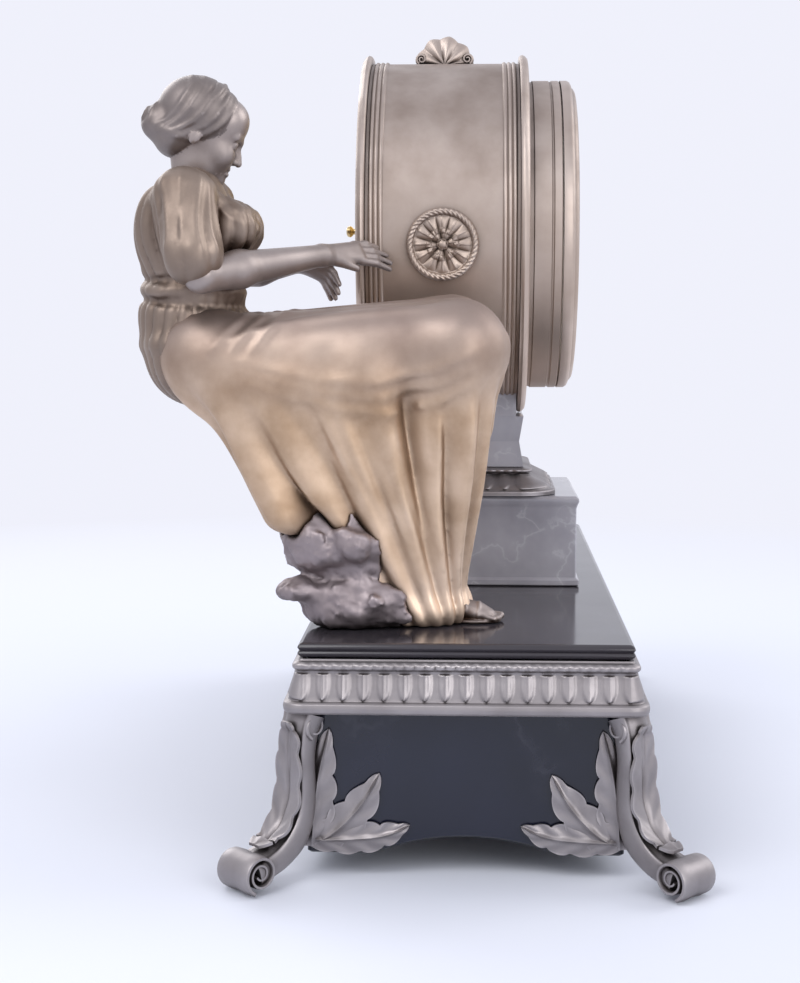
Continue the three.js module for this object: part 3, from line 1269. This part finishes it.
function pendulum() {
  const bobZ = ANCHOR_HEIGHT - PENDULUM_LENGTH;
  const eyeFront = PENDULUM_Y - STUD_RADIUS;
  const eyeRear = PENDULUM_Y + STUD_RADIUS;
  const rodTop = ANCHOR_HEIGHT - EYE_RADIUS * 0.7;
  const rodBottom = bobZ - BOB_RADIUS - PENDULUM_ROD_RADIUS;
  const radius = PENDULUM_ROD_RADIUS;
  const rod = new THREE.CylinderGeometry(radius, radius, rodTop - rodBottom, 12)
    .rotateX(Math.PI / 2)
    .translate(0, PENDULUM_Y, (rodTop + rodBottom) / 2);
  const bob = turned([
    [0, -BOB_THICKNESS / 2], [BOB_RADIUS * 0.7, -BOB_THICKNESS * 0.4], [BOB_RADIUS, 0],
    [BOB_RADIUS * 0.7, BOB_THICKNESS * 0.4], [0, BOB_THICKNESS / 2],
  ], 32).translate(0, PENDULUM_Y, bobZ);
  const eye = rodY(EYE_RADIUS, eyeFront, eyeRear, ...ANCHOR_PLACE, 16);
  return cut(
    joined(rod, bob, eye),
    rodY(STUD_RADIUS + RUNNING_GAP, eyeFront - OVERRUN, eyeRear + OVERRUN, ...ANCHOR_PLACE),
  );
}

function bell() {
  const [outer, inner] = [BELL_RADIUS, BELL_RADIUS - BELL_WALL];
  const rear = BELL_FRONT + BELL_DEPTH;
  return closed(turned([
    [outer, BELL_FRONT], [outer * 0.97, BELL_FRONT + BELL_DEPTH * 0.4],
    [outer * 0.8, BELL_FRONT + BELL_DEPTH * 0.85], [outer * 0.5, rear], [0, rear],
    [0, rear - BELL_WALL], [inner * 0.48, rear - BELL_WALL],
    [inner * 0.77, BELL_FRONT + BELL_DEPTH * 0.74], [inner * 0.95, BELL_FRONT + BELL_DEPTH * 0.36],
    [inner, BELL_FRONT], [outer, BELL_FRONT],
  ], 24));
}

function bellStand() {
  const rear = BELL_FRONT + BELL_DEPTH + GAP + BELL_WALL;
  const width = 2 * PILLAR_RADIUS;
  return joined(
    block([STAND_X, BACK_PLATE_REAR + GAP, -width / 2], [STAND_X + BELL_WALL * 2, rear, width / 2]),
    block([-width / 2, rear - BELL_WALL, -width / 2], [STAND_X + BELL_WALL * 2, rear, width / 2]),
  );
}

// Arbor behind the back plate, an upright arm, and a round head beside the bell's mouth
function hammer() {
  const [x, z] = HAMMER_PLACE;
  const armFront = BELL_FRONT + BELL_WALL;
  return joined(
    rodY(PIVOT_RADIUS, BACK_PLATE_FRONT + GAP, armFront, x, z, 12),
    rodY(ARBOR_RADIUS, BACK_PLATE_REAR + GAP, armFront + BELL_WALL, x, z, 12),
    block(
      [x - PIVOT_RADIUS, armFront, z - ARBOR_RADIUS],
      [x + PIVOT_RADIUS, armFront + BELL_WALL, -z * 0.2],
    ),
    new THREE.CylinderGeometry(HAMMER_HEAD_RADIUS, HAMMER_HEAD_RADIUS, 2 * HAMMER_HEAD_RADIUS, 16)
      .rotateZ(Math.PI / 2)
      .translate(x, armFront + BELL_WALL / 2, 0),
  );
}

function minuteWheel() {
  const wheelRear = CANNON_LEVEL + WHEEL_THICKNESS;
  const pinionRear = CANNON_LEVEL + GAP;
  const parts = joined(
    gear(MINUTE_WHEEL_TEETH, CANNON_LEVEL, wheelRear, MINUTE_PLACE, CENTRE, true),
    gear(MINUTE_PINION_TEETH, HOUR_LEVEL, pinionRear, MINUTE_PLACE, CENTRE, false, HOUR_MODULE),
  );
  return cut(parts, rodY(PIVOT_RADIUS + RUNNING_GAP, DIAL_BACK, PLATE_FRONT, ...MINUTE_PLACE));
}

function hourWheel() {
  const inner = CANNON_RADIUS + RUNNING_GAP;
  const pipe = ring(inner, HOUR_PIPE_RADIUS, HOUR_HAND_FRONT, CANNON_LEVEL - GAP, 16);
  const innerBore = rodY(inner, COLLAR_FRONT, PLATE_FRONT, 0, 0, 16);
  const wheelRear = HOUR_LEVEL + WHEEL_THICKNESS;
  const teeth = gear(
    HOUR_WHEEL_TEETH, HOUR_LEVEL, wheelRear, CENTRE, MINUTE_PLACE, true, HOUR_MODULE);
  return cut(joined(pipe, teeth), innerBore);
}

const DIAL_FRONT = DIAL_BACK - DIAL_THICKNESS;
const HOUR_HAND_FRONT = DIAL_FRONT - GAP - HAND_THICKNESS;
const MINUTE_HAND_FRONT = HOUR_HAND_FRONT - 2 * HAND_THICKNESS;

// A hand with a hub, a slim blade and a leaf near its tip, pointing up before it is turned
function hand(length, hub, hole, front, degrees) {
  const half = [[0.3, 0.55], [0.8, 0.72], [0.25, 0.86], [0, 1]]
    .map(([across, along]) => [across * hub, along * length]);
  half.unshift([hub * 0.35, hub * 0.9]);
  const outline = [...half, ...half.slice(0, -1).reverse().map(([x, z]) => [-x, z])];
  const points = outline.map(([x, z]) => new THREE.Vector2(x, z));
  const blade = platePiece(points, front, front + HAND_THICKNESS);
  const boss = rodY(hub, front, front + HAND_THICKNESS, 0, 0, 20);
  return cut(joined(blade, boss), rodY(hole, front - OVERRUN, front + OVERRUN, 0, 0, 16))
    .rotateY(THREE.MathUtils.degToRad(degrees));
}

function hourHand() {
  const hole = HOUR_PIPE_RADIUS + RUNNING_GAP / 2;
  return hand(HOUR_HAND_LENGTH, HOUR_HUB_RADIUS, hole, HOUR_HAND_FRONT, HOUR_DEGREES);
}

function minuteHand() {
  const hole = CANNON_RADIUS + RUNNING_GAP / 2;
  return hand(MINUTE_HAND_LENGTH, MINUTE_HUB_RADIUS, hole, MINUTE_HAND_FRONT, MINUTE_DEGREES);
}

function dial() {
  return cut(
    disc(COLLAR_INNER - GAP, DIAL_FRONT, DIAL_BACK, RING_SIDES),
    rodY(HOUR_PIPE_RADIUS + GAP, DIAL_FRONT - OVERRUN, DIAL_BACK + OVERRUN, 0, 0, 16),
    rodY(DIAL_HOLE, DIAL_FRONT - OVERRUN, DIAL_BACK + OVERRUN, ...GOING_PLACE),
    rodY(DIAL_HOLE, DIAL_FRONT - OVERRUN, DIAL_BACK + OVERRUN, ...STRIKE_PLACE),
  );
}

const MINUTE_DEGREES = 54;
const HOUR_DEGREES = -55.5;

addPiece('dial', dial(), ENAMEL, drum);
addPiece('movement_front_plate', frontPlate(), BRASS, drum);
addPiece('movement_back_plate', backPlate(), BRASS, drum);
addPiece('going_barrel', barrel(GOING_PLACE, BARREL_REAR - WHEEL_THICKNESS), BRASS, drum);
addPiece('going_arbor', windingArbor(GOING_PLACE), STEEL, drum);
addPiece('strike_barrel', barrel(STRIKE_PLACE, BARREL_FRONT), BRASS, drum);
addPiece('strike_arbor', windingArbor(STRIKE_PLACE), STEEL, drum);
addPiece('centre_wheel', centreArbor(), BRASS, drum);
addPiece('third_wheel', thirdWheel(), BRASS, drum);
addPiece('escape_wheel', escapeWheel(), BRASS, drum);
addPiece('anchor', anchor(), STEEL, drum);
addPiece('minute_wheel', minuteWheel(), BRASS, drum);
addPiece('hour_wheel', hourWheel(), BRASS, drum);
addPiece('hour_hand', hourHand(), STEEL, drum);
addPiece('minute_hand', minuteHand(), STEEL, drum);
addPiece('suspension_cock', suspensionCock(), BRASS, drum);
addPiece('pendulum', pendulum(), BRASS, drum);
addPiece('bell', bell(), BRASS, drum);
addPiece('bell_stand', bellStand(), STEEL, drum);
addPiece('hammer', hammer(), STEEL, drum);

// The origin is under the middle of the whole clock, at the height that its feet stand on
const reach = new THREE.Box3().setFromObject(clock, true);
clock.position.set(-(reach.min.x + reach.max.x) / 2, -(reach.min.y + reach.max.y) / 2, -reach.min.z);

export default clock;
